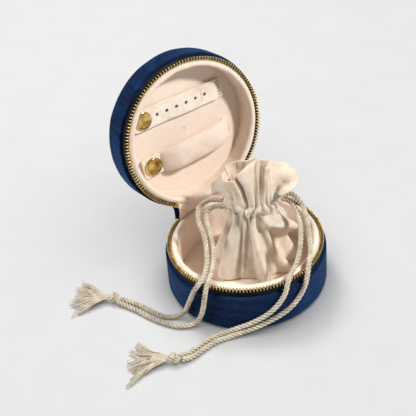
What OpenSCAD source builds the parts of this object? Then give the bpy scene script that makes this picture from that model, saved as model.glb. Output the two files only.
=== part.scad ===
// Round velvet travel jewellery box with a zip, shown open, and the drawstring pouch that lies in it.
// Millimetres, +Z up, origin at the centre of the underside. The hinge side faces +Y.
// The lid is drawn shut on the base, then turned back about the hinge line.

/* [Box] */
// Outer radius of base and lid
out_r = 50; // [47:0.5:53]
// Height from the floor to the middle of the base's row of teeth
base_h = 31; // [29:0.5:36]
// Height from the middle of the lid's row of teeth to the top of the lid
lid_h = 23; // [22:0.5:27]
// Radius of the bottom edge of the base
base_edge = 3; // [2:0.5:5]
// Radius of the top edge of the lid
lid_edge = 6; // [4:0.5:7]
// Thickness of the velvet
velvet = 0.8; // [0.6:0.1:1]
// Thickness of the stiff board in walls and floor
board = 1.4; // [1:0.1:1.6]
// Inner radius of the padded wall lining
cavity_r = 42.3; // [40:0.1:42.5]
// Height of the floor lining above the table
floor_z = 5.2; // [5:0.1:7]
// Depth of the padded lid panel behind the lid's teeth
panel_depth = 13; // [12:0.5:14]
// Angle the lid is turned back from shut
open_angle = 100.5; // [60:0.5:101]

/* [Zip] */
// Radius of the rows of teeth
teeth_r = 47.5; // [47:0.1:48]
// Angle from one tooth to the next
tooth_step = 2.4; // [2.2:0.1:3]
// Width of a tooth along the row
tooth_w = 1.1; // [0.8:0.1:1.3]
// Size of a tooth across the row
tooth_d = 2.4; // [2:0.1:2.6]
// Height of a tooth
tooth_h = 1.9; // [1.5:0.1:2]
// Clear gap left between the two rows when the lid is shut
row_gap = 1.2; // [1:0.1:1.4]
// Angle from the back to the end stop on the right-hand side
row_start = 29.5; // [29.5:0.5:35]
// Angle from the back to the end stop on the left-hand side
row_end = 28.5; // [28.5:0.5:35]
// Angle from the back to the parked slider
park_angle = 23; // [22:0.5:23]

/* [Straps] */
// Distance of the earring strap in front of the middle of the lid
strap_y = -17; // [-19:0.5:-15]
// Width of the earring strap
strap_w = 13; // [11:0.5:14]
// Distance of the ring roll's right end behind the middle of the lid
roll_y = 11; // [9:0.5:12]
// Width of the ring roll
roll_w = 17; // [14:0.5:18]
// Height of the ring roll
roll_h = 12; // [9:0.5:12]
// Angle the ring roll lies askew
roll_skew = 3.5; // [0:0.5:4]
// Left end of both straps
strap_left = -35; // [-36:0.5:-33]
// Right end of both straps, where they are sewn down
strap_right = 31; // [30:0.5:31]
// Distance of both snaps to the left of the middle
snap_x = -28; // [-28:0.5:-26]
// Radius of a snap cap
cap_r = 5.9; // [5.2:0.1:6.2]
// Spacing of the earring holes
hole_step = 7; // [6:0.5:7]

/* [Pouch] */
// Middle of the pouch to the right of the box's middle
pouch_x = 9.5; // [7:0.5:10]
// Middle of the pouch behind the box's middle
pouch_y = 4; // [2:0.5:5]
// Radius of the pouch at its widest
pouch_r = 27; // [24:0.5:28]
// Height at which the pouch is drawn in
neck_z = 50; // [45:1:50]
// Height of the top of the frill
frill_z = 75; // [68:1:77]
// Diameter of the drawcords
cord_d = 3; // [2.4:0.2:3]

/* [Hidden] */
$fn = 96;

// colours
navy = [0.06, 0.15, 0.34];
cream = [0.95, 0.88, 0.8];
card = [0.62, 0.55, 0.45];
foam = [0.9, 0.88, 0.8];
black_tape = [0.04, 0.04, 0.05];
brass = [0.8, 0.62, 0.22];
ivory = [0.95, 0.9, 0.82];
cotton = [0.85, 0.77, 0.6];

// heights of the two rows of teeth with the lid shut
base_row_z = base_h;
lid_row_z = base_h + tooth_h + row_gap;
mid_z = (base_row_z + lid_row_z) / 2;
lid_top_z = lid_row_z + lid_h;
// the hinge line runs along X through the soft gusset
hinge_y = 45;
hinge_z = base_h + 7.9;
// the velvet stops this far from the middle of the teeth and leaves a band of tape bare
tape_band = 5.1;
tape_t = 0.6;
// the tape runs on this many degrees past its end stops
tape_over = 1.3;
wall_in = teeth_r + tape_t / 2 + 0.1;
board_gap = 0.1;
board_r = out_r - velvet - board_gap;
seam_r = out_r - 6;
// the lining's rolled rim
rim_r = 1.6;
rim_mid = cavity_r + 1;
ledge_drop = 2.2;
lining_out = wall_in - 1;
panel_z = lid_row_z + panel_depth;
panel_t = 0.6;
// strap heights below the panel, in the shut lid
strap_t = 1.4;
strap_gap = 1.6;
stud_r = 1.9;
snap_clear = 0.15;
post_r = 1;
earring_hole_r = 0.8;
roll_from = -21;
roll_to = 28;
cover_t = 0.8;
// slider
slider_half = 4.8;
slider_in = teeth_r - tooth_d / 2 - 0.4;
slider_out = teeth_r + tooth_d / 2 + 0.4;
slider_t = 0.7;
slider_low = base_row_z - tooth_h / 2 - 0.85;
slider_high = lid_row_z + tooth_h / 2 + 0.85;
flange_h = 0.55;
flange_w = 0.95;
bail_r = slider_out + slider_t + 1.35;
pull_w = 4.6;
pull_len = 18;
pull_t = 1;
// pouch: its wide direction is turned a little from X
pouch_turn = -30.5;
neck_half = 5;
neck_r = 13;
neck_h = 8.5;
frill_lean = 10;

// Routes of the four drawcord strands, from the pouch's channel to the knots
left_back_route = [
    [-5.5, 13.5, 55.5], [-12.5, 18, 56], [-19.5, 19, 53], [-24, 13.5, 48.3], [-26, 5.5, 43.2],
    [-29.5, -2, 38.8], [-35.5, -10.5, 35.2], [-42.6, -17.4, 34.1], [-47.2, -18.9, 32.8],
    [-50, -17.2, 27.4], [-50.8, -13.8, 19.6], [-51.5, -10.4, 11.8], [-53, -7.6, 5.4],
    [-57.2, -4.9, 2.1], [-62.6, -0.2, 1.6], [-66.3, 8, 1.6], [-69, 16.5, 1.6],
    [-72.5, 24, 1.9], [-76.6, 29.3, 3.2]
];
left_front_route = [
    [-6, 11.8, 51.8], [-12, 15.3, 52.2], [-17.8, 14.4, 49], [-20.8, 8, 44],
    [-23.6, 0.5, 39.6], [-28.5, -8, 36], [-35, -15.5, 34.3], [-41.6, -21.6, 34.1],
    [-45.5, -24.4, 32.5], [-47.4, -24.8, 26.6], [-47.6, -22.9, 18.8], [-48.3, -20.8, 11],
    [-50.4, -18.8, 5.1], [-55.4, -16.2, 2], [-61.4, -11.6, 1.6], [-66.6, -3.2, 1.6],
    [-70.2, 5.5, 1.6], [-73, 14.4, 1.6], [-76.3, 22.5, 1.9], [-79.4, 28.4, 3.2]
];
right_inner_route = [
    [24.6, -4.7, 53], [27.6, -11, 52.6], [26.8, -18.5, 50], [23.6, -25.8, 46],
    [19, -32, 41.6], [13.2, -37.9, 37.5], [6.4, -43.2, 34.9], [-0.4, -47.2, 34.2],
    [-5, -50.3, 32.4], [-8.6, -52, 27], [-13.6, -50.9, 19.8], [-20.3, -48.3, 13.6],
    [-28.2, -44.3, 9], [-36.3, -38.9, 5], [-43.6, -34.9, 2.3], [-52.4, -33.5, 1.6],
    [-61, -34.3, 1.6], [-68.4, -35.4, 2.1], [-74.4, -35.1, 3.4]
];
right_outer_route = [
    [25, -4.6, 56.6], [29.7, -10.3, 57], [30.5, -18, 54.4], [28.2, -26, 49.4],
    [25, -32.4, 44], [21.6, -37.8, 38.9], [17.6, -42.6, 35.2], [13, -47.2, 34.1],
    [9.2, -50.8, 31.6], [5.4, -52.6, 25.2], [0, -52.7, 18.2], [-7.6, -52.1, 13],
    [-16.4, -49.9, 9.4], [-25, -46.7, 6.2], [-33, -42.6, 3.4], [-41, -39.4, 1.8],
    [-50, -37.4, 1.6], [-59.6, -38, 1.6], [-68, -39.1, 1.8], [-74.9, -38.3, 3.1]
];
left_knot_at = [-79.6, 32.2, 4.2];
right_knot_at = [-78, -35, 4.2];
left_tassel_dir = 136;
right_tassel_dir = 143;
knot_r = 4;
tassel_len = 28;

// ---------------------------------------------------------------- helpers

// Points of an arc, from angle a0 to a1
function arc(cx, cy, r, a0, a1, n = 6) =
    [for (i = [0:n]) let (a = a0 + (a1 - a0) * i / n) [cx + r * cos(a), cy + r * sin(a)]];

function unit(v) = v / norm(v);

// A ring of points round a route point, across the route's direction
function ring(p, dir, r, sides) =
    let (side = unit(cross(dir, abs(dir[2]) > 0.9 ? [1, 0, 0] : [0, 0, 1])), up = cross(side, dir))
    [for (k = [0:sides - 1]) let (a = 360 * k / sides) p + r * (cos(a) * side + sin(a) * up)];

function route_dir(route, i) =
    let (n = len(route)) unit(route[min(i + 1, n - 1)] - route[max(i - 1, 0)]);

// A closed tube along a route of points
module tube(route, r, sides = 8) {
    n = len(route);
    points = [for (i = [0:n - 1]) each ring(route[i], route_dir(route, i), r, sides)];
    walls = [
        for (i = [0:n - 2], k = [0:sides - 1])
            let (a = i * sides + k, b = i * sides + (k + 1) % sides)
            each [[a, a + sides, b + sides], [a, b + sides, b]]
    ];
    start = [for (k = [0:sides - 1]) k];
    end = [for (k = [sides - 1:-1:0]) (n - 1) * sides + k];
    polyhedron(points, concat([start], walls, [end]), convexity = 6);
}

// A flat ring between two radii and two heights
module band(r_in, r_out, z0, z1) {
    rotate_extrude() translate([r_in, z0]) square([r_out - r_in, z1 - z0]);
}

// The same ring, over the part of the circle that carries the zip
module zip_band(r_in, r_out, z0, z1, from, to) {
    rotate([0, 0, 90 - to]) rotate_extrude(angle = to - from)
        translate([r_in, z0]) square([r_out - r_in, z1 - z0]);
}

// Angles here run from the back, clockwise seen from above
module at_angle(angle) {
    rotate([0, 0, -angle]) children();
}

// Turns a child drawn in the shut lid back to the open lid
module opened() {
    translate([0, hinge_y, hinge_z]) rotate([-open_angle, 0, 0]) translate([0, -hinge_y, -hinge_z])
        children();
}

function opened_point(p) =
    let (y = p[1] - hinge_y, z = p[2] - hinge_z, c = cos(open_angle), s = sin(open_angle))
    [p[0], hinge_y + y * c + z * s, hinge_z - y * s + z * c];

// Moves a child to the ring roll's slightly askew place on the lid panel
module askew() {
    translate([strap_right, roll_y, 0]) rotate([0, 0, -roll_skew]) translate([-strap_right, 0, 0])
        children();
}

// ---------------------------------------------------------------- base

module base_bottom_velvet() {
    color(navy) cylinder(h = velvet + 0.2, r = seam_r - 0.1);
}

module base_side_velvet() {
    mid = out_r - base_edge;
    low = 0.3;
    top = base_row_z - tape_band;
    outer = arc(mid, low + base_edge, base_edge, -90, 0);
    fold = arc(out_r - velvet, top - velvet, velvet, 0, 90);
    inner = arc(mid, low + base_edge, base_edge - velvet, 0, -90);
    color(navy) rotate_extrude() polygon(concat(
        [[seam_r, low]], outer, fold,
        [[wall_in, top], [wall_in, top - velvet], [out_r - velvet, top - velvet]],
        inner, [[seam_r, low + velvet]]));
}

module base_floor_board() {
    color(card) translate([0, 0, velvet + 0.4]) cylinder(h = board, r = out_r - base_edge + 0.4);
}

module base_wall_board() {
    low = velvet + 0.5 + board;
    high = base_row_z - tape_band - velvet - board_gap;
    color(card) band(board_r - board + 0.3, board_r, low + 0.7, high);
}

module base_floor_pad() {
    low = velvet + 0.4 + board;
    color(foam) translate([0, 0, low]) cylinder(h = floor_z - panel_t - low, r = cavity_r - 0.1);
}

module base_floor_lining() {
    color(cream) translate([0, 0, floor_z - panel_t]) cylinder(h = panel_t, r = cavity_r - 0.1);
}

// Section of a wall lining: a padded wall with a rolled rim towards +y
module lining_section(foot, rim_top) {
    ledge = rim_top - ledge_drop;
    roll = arc(rim_mid, rim_top - rim_r, rim_r, 0, 180, 10);
    polygon(concat(
        [[cavity_r, foot], [lining_out, foot], [lining_out, ledge], [rim_mid + rim_r, ledge]],
        roll, [[cavity_r, rim_top - 2 * rim_r]]));
}

module base_wall_lining() {
    color(cream) rotate_extrude() lining_section(velvet + 0.5 + board, base_row_z);
}

module zip_tape(low, high) {
    color(black_tape) zip_band(teeth_r - tape_t / 2, teeth_r + tape_t / 2, low, high,
        row_start - tape_over, 360 - row_end + tape_over);
}

module tooth_row(row_z) {
    count = floor((360 - row_start - row_end) / tooth_step);
    color(brass) for (i = [1:count])
        at_angle(row_start + i * tooth_step) translate([0, teeth_r, row_z])
            cube([tooth_w, tooth_d, tooth_h], center = true);
}

// A stop is clamped on the tape at each end of a row, in place of a tooth
module zip_stops(row_z, tape_z0, tape_z1) {
    color(brass) for (angle = [row_start, 360 - row_end])
        at_angle(angle) difference() {
            translate([-0.9, teeth_r - 1.2, row_z - tooth_h / 2]) cube([1.8, 2.4, tooth_h]);
            translate([-1.5, teeth_r - tape_t / 2, tape_z0]) cube([3, tape_t, tape_z1 - tape_z0]);
        }
}

module base_zip_tape() {
    zip_tape(base_row_z - tape_band - 3, base_row_z - tooth_h / 2);
}

module base_zip_teeth() {
    tooth_row(base_row_z);
}

module base_zip_stops() {
    zip_stops(base_row_z, base_row_z - 3, base_row_z);
}

// ---------------------------------------------------------------- gusset

gusset_from = -row_end + 1.6;
gusset_to = park_angle - slider_half - 0.7;
gusset_steps = 12;
// the sheets stop short of the lid by the rest of this share
gusset_share = 0.82;

// One cross-section of the gusset's sheet, from its foot on the base up to the open lid
function gusset_row(angle, r, thick, low, high) =
    let (foot = [r * sin(angle), r * cos(angle), low],
         head = opened_point([r * sin(angle), r * cos(angle), high]),
         run = (head - foot) * gusset_share,
         side = unit([0, run[2], -run[1]]) * thick / 2)
    [foot - side, foot + side, foot + run + side, foot + run - side];

// A sheet of even thickness between an arc on the base and the same arc on the open lid
module gusset_sheet(r, thick, low, high) {
    rows = [for (i = [0:gusset_steps]) gusset_from + (gusset_to - gusset_from) * i / gusset_steps];
    points = [for (angle = rows) each gusset_row(angle, r, thick, low, high)];
    last = gusset_steps * 4;
    walls = [
        for (i = [0:gusset_steps - 1], k = [0:3])
            let (a = i * 4 + k, b = i * 4 + (k + 1) % 4)
            each [[a, a + 4, b + 4], [a, b + 4, b]]
    ];
    polyhedron(points, concat([[0, 1, 2, 3]], walls, [[last + 3, last + 2, last + 1, last]]));
}

module gusset_velvet() {
    color(navy) gusset_sheet(out_r - 0.4, 0.7, base_row_z - tape_band + 0.3, lid_row_z + tape_band);
}

module gusset_lining() {
    color(cream) gusset_sheet(lining_out - 1.2, 0.5, base_row_z - ledge_drop + 0.3, lid_row_z + ledge_drop);
}

// ---------------------------------------------------------------- lid

module lid_top_velvet() {
    color(navy) opened() translate([0, 0, lid_top_z - velvet]) cylinder(h = velvet, r = seam_r - 0.1);
}

module lid_side_velvet() {
    mid = out_r - lid_edge;
    low = lid_row_z + tape_band;
    outer = arc(mid, lid_top_z - lid_edge, lid_edge, 0, 90);
    fold = arc(out_r - velvet, low + velvet, velvet, -90, 0);
    inner = arc(mid, lid_top_z - lid_edge, lid_edge - velvet, 90, 0);
    color(navy) opened() rotate_extrude() polygon(concat(
        [[wall_in, low]], fold, outer, [[mid, lid_top_z - velvet]],
        inner, [[out_r - velvet, low + velvet], [wall_in, low + velvet]]));
}

module lid_top_board() {
    color(card) opened() translate([0, 0, lid_top_z - velvet - 0.3 - board])
        cylinder(h = board, r = out_r - lid_edge + 1);
}

module lid_wall_board() {
    color(card) opened() band(board_r - board + 0.3, board_r,
        lid_row_z + tape_band + velvet + board_gap, lid_top_z - lid_edge);
}

module lid_panel_pad() {
    high = lid_top_z - velvet - 0.3 - board;
    color(foam) opened() translate([0, 0, panel_z + panel_t])
        cylinder(h = high - panel_z - panel_t, r = cavity_r - 0.1);
}

module lid_panel_lining() {
    color(cream) opened() translate([0, 0, panel_z]) cylinder(h = panel_t, r = cavity_r - 0.1);
}

module lid_wall_lining() {
    foot = lid_top_z - velvet - 0.3 - board;
    color(cream) opened() rotate_extrude() mirror([0, 1])
        lining_section(-foot, -lid_row_z);
}

module lid_zip_tape() {
    opened() zip_tape(lid_row_z + tooth_h / 2, lid_row_z + tape_band + 3);
}

module lid_zip_teeth() {
    opened() tooth_row(lid_row_z);
}

module lid_zip_stops() {
    opened() zip_stops(lid_row_z, lid_row_z, lid_row_z + 3);
}

// ---------------------------------------------------------------- snaps

// Stud on the panel: a flange with a low head, pointing out of the panel
module snap_stud() {
    color(brass) translate([snap_x, 0, panel_z - 0.3]) cylinder(h = 0.3, r = 3.5);
    color(brass) translate([snap_x, 0, panel_z - 1.1]) cylinder(h = 0.8, r = stud_r);
}

// Socket under the strap, which closes over the stud
module snap_socket() {
    color(brass) translate([snap_x, 0, panel_z - strap_gap]) difference() {
        cylinder(h = strap_gap - 0.5, r = 3.6);
        translate([0, 0, 0.35]) cylinder(h = strap_gap, r = stud_r + snap_clear);
        translate([0, 0, -1]) cylinder(h = 3, r = post_r);
    }
}

// Cap on the face of the strap, with a raised rim and the post that holds the socket
module snap_cap() {
    face = panel_z - strap_gap - strap_t;
    color(brass) translate([snap_x, 0, face]) mirror([0, 0, 1]) {
        rotate_extrude() polygon(concat(
            [[0, 0], [cap_r - 0.4, 0]], arc(cap_r - 0.7, 0.7, 0.7, -30, 120, 8),
            [[cap_r - 1.6, 1.05], [2, 1.3], [0, 1.35]]));
        translate([0, 0, -strap_t - 0.35]) cylinder(h = strap_t + 0.36, r = post_r);
    }
}

module earring_snap_stud() {
    opened() translate([0, strap_y, 0]) snap_stud();
}

module ring_snap_stud() {
    opened() askew() snap_stud();
}

module earring_snap_cap() {
    opened() translate([0, strap_y, 0]) snap_cap();
}

module ring_snap_cap() {
    opened() askew() snap_cap();
}

module earring_snap_socket() {
    opened() translate([0, strap_y, 0]) snap_socket();
}

module ring_snap_socket() {
    opened() askew() snap_socket();
}

// ---------------------------------------------------------------- straps

module earring_strap() {
    face = panel_z - strap_gap - strap_t;
    color(cream) opened() translate([0, strap_y, face]) difference() {
        union() {
            translate([strap_left, -strap_w / 2, 0]) cube([strap_right - strap_left, strap_w, strap_t]);
            translate([strap_right - 4, -strap_w / 2, 0])
                cube([4, strap_w, strap_t + strap_gap - 0.1]);
        }
        for (i = [-2.5:2.5]) translate([i * hole_step, 0, -1]) cylinder(h = strap_t + 2, r = earring_hole_r);
        translate([snap_x, 0, -1]) cylinder(h = strap_t + 2, r = post_r);
    }
}

// Section of the ring roll: a flat-sided round, `less` thinner all over
module roll_section(less) {
    r = roll_h / 2 - less;
    half = roll_w / 2 - roll_h / 2;
    for (side = [-1, 1]) translate([side * half, 0]) circle(r = r);
    translate([-half, -r]) square([2 * half, 2 * r]);
}

module roll_bar(less, from, to) {
    translate([from, 0, panel_z - roll_h / 2 - 0.2]) rotate([90, 0, 90])
        linear_extrude(height = to - from) roll_section(less);
}

module ring_roll_cover() {
    color(cream) opened() askew() difference() {
        roll_bar(0, roll_from, roll_to);
        roll_bar(cover_t, roll_from + cover_t, roll_to - cover_t);
    }
}

module ring_roll_core() {
    color(foam) opened() askew() roll_bar(cover_t, roll_from + cover_t, roll_to - cover_t);
}

// The flat ends of the roll: the snap tab on the left and the sewn end on the right
module ring_roll_tab() {
    face = panel_z - strap_gap - strap_t;
    color(cream) opened() askew() translate([0, 0, face]) difference() {
        union() {
            translate([strap_left, -strap_w / 2, 0]) cube([roll_from - strap_left, strap_w, strap_t]);
            translate([roll_to, -strap_w / 2, 0])
                cube([strap_right - roll_to, strap_w, strap_t + strap_gap - 0.1]);
        }
        translate([snap_x, 0, -1]) cylinder(h = strap_t + 2, r = post_r);
    }
}

// ---------------------------------------------------------------- slider

module slider_piece(r_in, r_out, z0, z1, half) {
    zip_band(r_in, r_out, z0, z1, park_angle - half, park_angle + half);
}

module slider_body() {
    color(brass) union() {
        slider_piece(slider_in - slider_t, slider_in, slider_low, slider_high, slider_half);
        slider_piece(slider_out, slider_out + slider_t, slider_low, slider_high, slider_half);
        for (z = [slider_low, slider_high - flange_h]) {
            slider_piece(slider_in - 0.1, slider_in + flange_w, z, z + flange_h, slider_half);
            slider_piece(slider_out - flange_w, slider_out + 0.1, z, z + flange_h, slider_half);
        }
        slider_piece(slider_in - 0.1, slider_out + 0.1, mid_z - 0.4, mid_z + 0.4, 1.2);
    }
}

// The bail is a low bridge on the outer plate that carries the pull's loop
module slider_bail() {
    root = slider_out + slider_t;
    color(brass) at_angle(park_angle) union() {
        difference() {
            for (z = [mid_z - 2.1, mid_z + 1.3])
                translate([-1.2, root - 0.2, z]) cube([2.4, bail_r - root + 0.8, 0.8]);
            translate([0, 0, mid_z - 5]) cylinder(h = 10, r = root);
        }
        translate([0, bail_r, mid_z - 2.1]) cylinder(h = 4.2, r = 0.6);
    }
}

// The pull is a flat drop with an eye round the bail's bar
module pull_tab() {
    color(brass) at_angle(park_angle) translate([0, bail_r, mid_z]) difference() {
        union() {
            cylinder(h = 2.2, r = 1.25, center = true);
            translate([0.6, -pull_t / 2, -1.1]) cube([3, pull_t, 2.2]);
            translate([3, pull_t / 2, -pull_w / 2]) rotate([90, 0, 0])
                linear_extrude(height = pull_t) {
                    square([pull_len - 3 - pull_w / 2, pull_w]);
                    translate([pull_len - 3 - pull_w / 2, pull_w / 2]) circle(r = pull_w / 2);
                }
        }
        cylinder(h = 6, r = 0.75, center = true);
        translate([pull_len - pull_w / 2, 0, 0]) rotate([90, 0, 0]) cylinder(h = 6, r = 0.9, center = true);
    }
}

// ---------------------------------------------------------------- pouch

module at_pouch() {
    translate([pouch_x, pouch_y, 0]) rotate([0, 0, pouch_turn]) children();
}

module pouch_body() {
    low = floor_z + 0.1;
    color(ivory) at_pouch() rotate_extrude() polygon(concat(
        [[0, low]], arc(pouch_r - 6, low + 6, 6, -90, 10),
        [[pouch_r - 2, low + 20], [pouch_r - 7, low + 32], [neck_r + 1, neck_z - 3], [neck_r - 1, neck_z],
         [0, neck_z]]));
}

module pouch_channel() {
    color(ivory) at_pouch() translate([0, 0, neck_z]) linear_extrude(height = neck_h) {
        for (side = [-1, 1]) translate([side * neck_half, 0]) circle(r = neck_r);
        translate([-neck_half, -neck_r]) square([2 * neck_half, 2 * neck_r]);
    }
}

// The frill stands above the channel, flares out and leans back a little
module pouch_frill() {
    low = neck_z + neck_h;
    high = frill_z - low;
    color(ivory) at_pouch() translate([0, 0, low]) difference() {
        rotate([-frill_lean, 0, 0]) difference() {
            translate([0, 0, -3]) cylinder(h = high, r1 = neck_r - 1, r2 = neck_r + 9);
            translate([0, 0, 4]) cylinder(h = high, r1 = neck_r - 6, r2 = neck_r + 10);
        }
        translate([0, 0, -20]) cylinder(h = 20, r = 3 * neck_r);
    }
}

// ---------------------------------------------------------------- cords

module left_cord_back() {
    color(cotton) tube(left_back_route, cord_d / 2);
}

module left_cord_front() {
    color(cotton) tube(left_front_route, cord_d / 2);
}

module right_cord_inner() {
    color(cotton) tube(right_inner_route, cord_d / 2);
}

module right_cord_outer() {
    color(cotton) tube(right_outer_route, cord_d / 2);
}

module knot(at) {
    color(cotton) translate(at) sphere(r = knot_r);
}

module left_knot() {
    knot(left_knot_at);
}

module right_knot() {
    knot(right_knot_at);
}

// The combed-out end of a cord: a flat fan that widens away from the knot
module tassel(at, dir) {
    color(cotton) translate([at[0], at[1], 0.3]) rotate([0, 0, dir]) difference() {
        hull() {
            translate([knot_r - 1, 0, 0.5]) cylinder(h = 5, r = 2, $fn = 24);
            translate([tassel_len - 8, -4, 0]) cylinder(h = 5, r = 8, $fn = 24);
            translate([tassel_len - 8, 4, 0]) cylinder(h = 5, r = 8, $fn = 24);
        }
        translate([0, 0, at[2] - 0.3]) sphere(r = knot_r + 0.02);
    }
}

module left_tassel() {
    tassel(left_knot_at, left_tassel_dir);
}

module right_tassel() {
    tassel(right_knot_at, right_tassel_dir);
}

// ---------------------------------------------------------------- nodes

base_bottom_velvet();
base_side_velvet();
base_floor_board();
base_wall_board();
base_floor_pad();
base_floor_lining();
base_wall_lining();
base_zip_tape();
base_zip_teeth();
base_zip_stops();
gusset_velvet();
gusset_lining();
lid_top_velvet();
lid_side_velvet();
lid_top_board();
lid_wall_board();
lid_panel_pad();
lid_panel_lining();
lid_wall_lining();
lid_zip_tape();
lid_zip_teeth();
lid_zip_stops();
earring_snap_stud();
ring_snap_stud();
earring_strap();
earring_snap_cap();
earring_snap_socket();
ring_roll_cover();
ring_roll_core();
ring_roll_tab();
ring_snap_cap();
ring_snap_socket();
slider_body();
slider_bail();
pull_tab();
pouch_body();
pouch_channel();
pouch_frill();
left_cord_back();
left_cord_front();
right_cord_inner();
right_cord_outer();
left_knot();
right_knot();
left_tassel();
right_tassel();
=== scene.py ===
"""Looks of a round velvet jewellery box, shown open, with a drawstring pouch standing in its base."""
import math
import random

import bmesh
import bpy
import numpy as np
from mathutils import Matrix, Vector, noise


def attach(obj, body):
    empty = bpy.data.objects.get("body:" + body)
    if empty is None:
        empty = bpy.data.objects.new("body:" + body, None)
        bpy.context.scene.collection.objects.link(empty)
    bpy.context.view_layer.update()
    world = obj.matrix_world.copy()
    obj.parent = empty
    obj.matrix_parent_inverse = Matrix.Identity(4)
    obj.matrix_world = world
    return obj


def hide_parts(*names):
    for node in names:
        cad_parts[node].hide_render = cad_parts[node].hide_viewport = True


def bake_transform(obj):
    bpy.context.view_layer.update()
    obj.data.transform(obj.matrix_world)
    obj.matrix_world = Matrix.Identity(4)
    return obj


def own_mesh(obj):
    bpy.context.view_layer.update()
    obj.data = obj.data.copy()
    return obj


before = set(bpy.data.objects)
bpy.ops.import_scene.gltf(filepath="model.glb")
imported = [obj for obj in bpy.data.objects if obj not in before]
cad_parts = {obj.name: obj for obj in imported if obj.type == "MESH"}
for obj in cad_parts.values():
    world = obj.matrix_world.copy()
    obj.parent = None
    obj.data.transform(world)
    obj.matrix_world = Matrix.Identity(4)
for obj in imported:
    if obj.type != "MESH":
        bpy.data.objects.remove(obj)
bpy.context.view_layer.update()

# ---- sizes, in millimetres

MM = 0.001
OUT_R = 50.0
BASE_EDGE = 3.0
LID_EDGE = 6.0
VELVET = 0.8
SEAM_R = 44.0
BASE_ROW = 31.0
LID_ROW = 34.1
LID_TOP = 57.1
TAPE_BAND = 5.1
TEETH_R = 47.5
TAPE_T = 0.6
TOOTH_STEP = 2.4
TOOTH = (0.85, 2.3, 1.9)
ROW_START = 29.5
ROW_END = 28.5
GUSSET_END = 21
WALL_IN = 47.9
LINING_OUT = 46.9
CAVITY_R = 42.3
RIM_R = 1.6
RIM_MID = 43.3
LEDGE_DROP = 2.2
FLOOR_Z = 5.2
PANEL_Z = 47.1
HINGE_Y = 45.0
HINGE_Z = 38.9
OPEN = math.radians(100.5)
STRAP_Y = -17.0
STRAP_W = 13.0
STRAP_HALF = STRAP_W / 2
STRAP_LEFT = -35.0
STRAP_RIGHT = 31.0
STRAP_GAP = 1.6
STRAP_T = 1.4
STRAP_FACE = STRAP_GAP + STRAP_T
HOLES = 6
HOLE_R = 1.15
HOLE_STEP = 7.0
ROLL_Y = 11.0
ROLL_SKEW = math.radians(3.5)
ROLL_W = 17.0
ROLL_H = 12.0
ROLL_FROM = -21.0
ROLL_TO = 28.0
CORD_D = 3.0
CORD_PITCH = 7.6
KNOT_R = 4.0
TASSEL_LEN = 28.0
POUCH_AT = (9.5, 4.0)
POUCH_TURN = math.radians(-30.5)
NECK_Z = 50.0
NECK_H = 8.5

ROUTES = {
    "left_cord_back": [
        (-5.5, 13.5, 55.5), (-12.5, 18, 56), (-19.5, 19, 53), (-24, 13.5, 48.3), (-26, 5.5, 43.2),
        (-29.5, -2, 38.8), (-35.5, -10.5, 35.2), (-42.6, -17.4, 34.1), (-47.2, -18.9, 32.8),
        (-50, -17.2, 27.4), (-50.8, -13.8, 19.6), (-51.5, -10.4, 11.8), (-53, -7.6, 5.4),
        (-57.2, -4.9, 2.1), (-62.6, -0.2, 1.6), (-66.3, 8, 1.6), (-69, 16.5, 1.6),
        (-72.5, 24, 1.9), (-76.6, 29.3, 3.2)],
    "left_cord_front": [
        (-6, 11.8, 51.8), (-12, 15.3, 52.2), (-17.8, 14.4, 49), (-20.8, 8, 44),
        (-23.6, 0.5, 39.6), (-28.5, -8, 36), (-35, -15.5, 34.3), (-41.6, -21.6, 34.1),
        (-45.5, -24.4, 32.5), (-47.4, -24.8, 26.6), (-47.6, -22.9, 18.8), (-48.3, -20.8, 11),
        (-50.4, -18.8, 5.1), (-55.4, -16.2, 2), (-61.4, -11.6, 1.6), (-66.6, -3.2, 1.6),
        (-70.2, 5.5, 1.6), (-73, 14.4, 1.6), (-76.3, 22.5, 1.9), (-79.4, 28.4, 3.2)],
    "right_cord_inner": [
        (24.6, -4.7, 53), (27.6, -11, 52.6), (26.8, -18.5, 50), (23.6, -25.8, 46),
        (19, -32, 41.6), (13.2, -37.9, 37.5), (6.4, -43.2, 34.9), (-0.4, -47.2, 34.2),
        (-5, -50.3, 32.4), (-8.6, -52, 27), (-13.6, -50.9, 19.8), (-20.3, -48.3, 13.6),
        (-28.2, -44.3, 9), (-36.3, -38.9, 5), (-43.6, -34.9, 2.3), (-52.4, -33.5, 1.6),
        (-61, -34.3, 1.6), (-68.4, -35.4, 2.1), (-74.4, -35.1, 3.4)],
    "right_cord_outer": [
        (25, -4.6, 56.6), (29.7, -10.3, 57), (30.5, -18, 54.4), (28.2, -26, 49.4),
        (25, -32.4, 44), (21.6, -37.8, 38.9), (17.6, -42.6, 35.2), (13, -47.2, 34.1),
        (9.2, -50.8, 31.6), (5.4, -52.6, 25.2), (0, -52.7, 18.2), (-7.6, -52.1, 13),
        (-16.4, -49.9, 9.4), (-25, -46.7, 6.2), (-33, -42.6, 3.4), (-41, -39.4, 1.8),
        (-50, -37.4, 1.6), (-59.6, -38, 1.6), (-68, -39.1, 1.8), (-74.9, -38.3, 3.1)],
}
# where closing the lid would tuck the cords and their ends into the box: for each, the
# direction that it gives way in, and how far along it the tucked piece lies, in mm
TUCKS = {"left_cord_back": ((-0.78, 0.06, -0.62), 6.4), "left_cord_front": ((0.84, -0.01, 0.54), -10.0),
         "right_cord_inner": ((0.67, 0.59, 0.45), -4.0), "right_cord_outer": ((0.51, 0.65, 0.56), 2.4),
         "left": ((0.96, -0.25, 0.13), 13.8), "right": ((0.99, 0.0, 0.13), -12.1)}
KNOTS = {"left": ((-79.6, 32.2, 4.2), math.radians(136)), "right": ((-78, -35, 4.2), math.radians(143))}


# ---- camera and stage

def new_object(name, data):
    made = bpy.data.objects.new(name, data)
    bpy.context.collection.objects.link(made)
    return made


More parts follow.
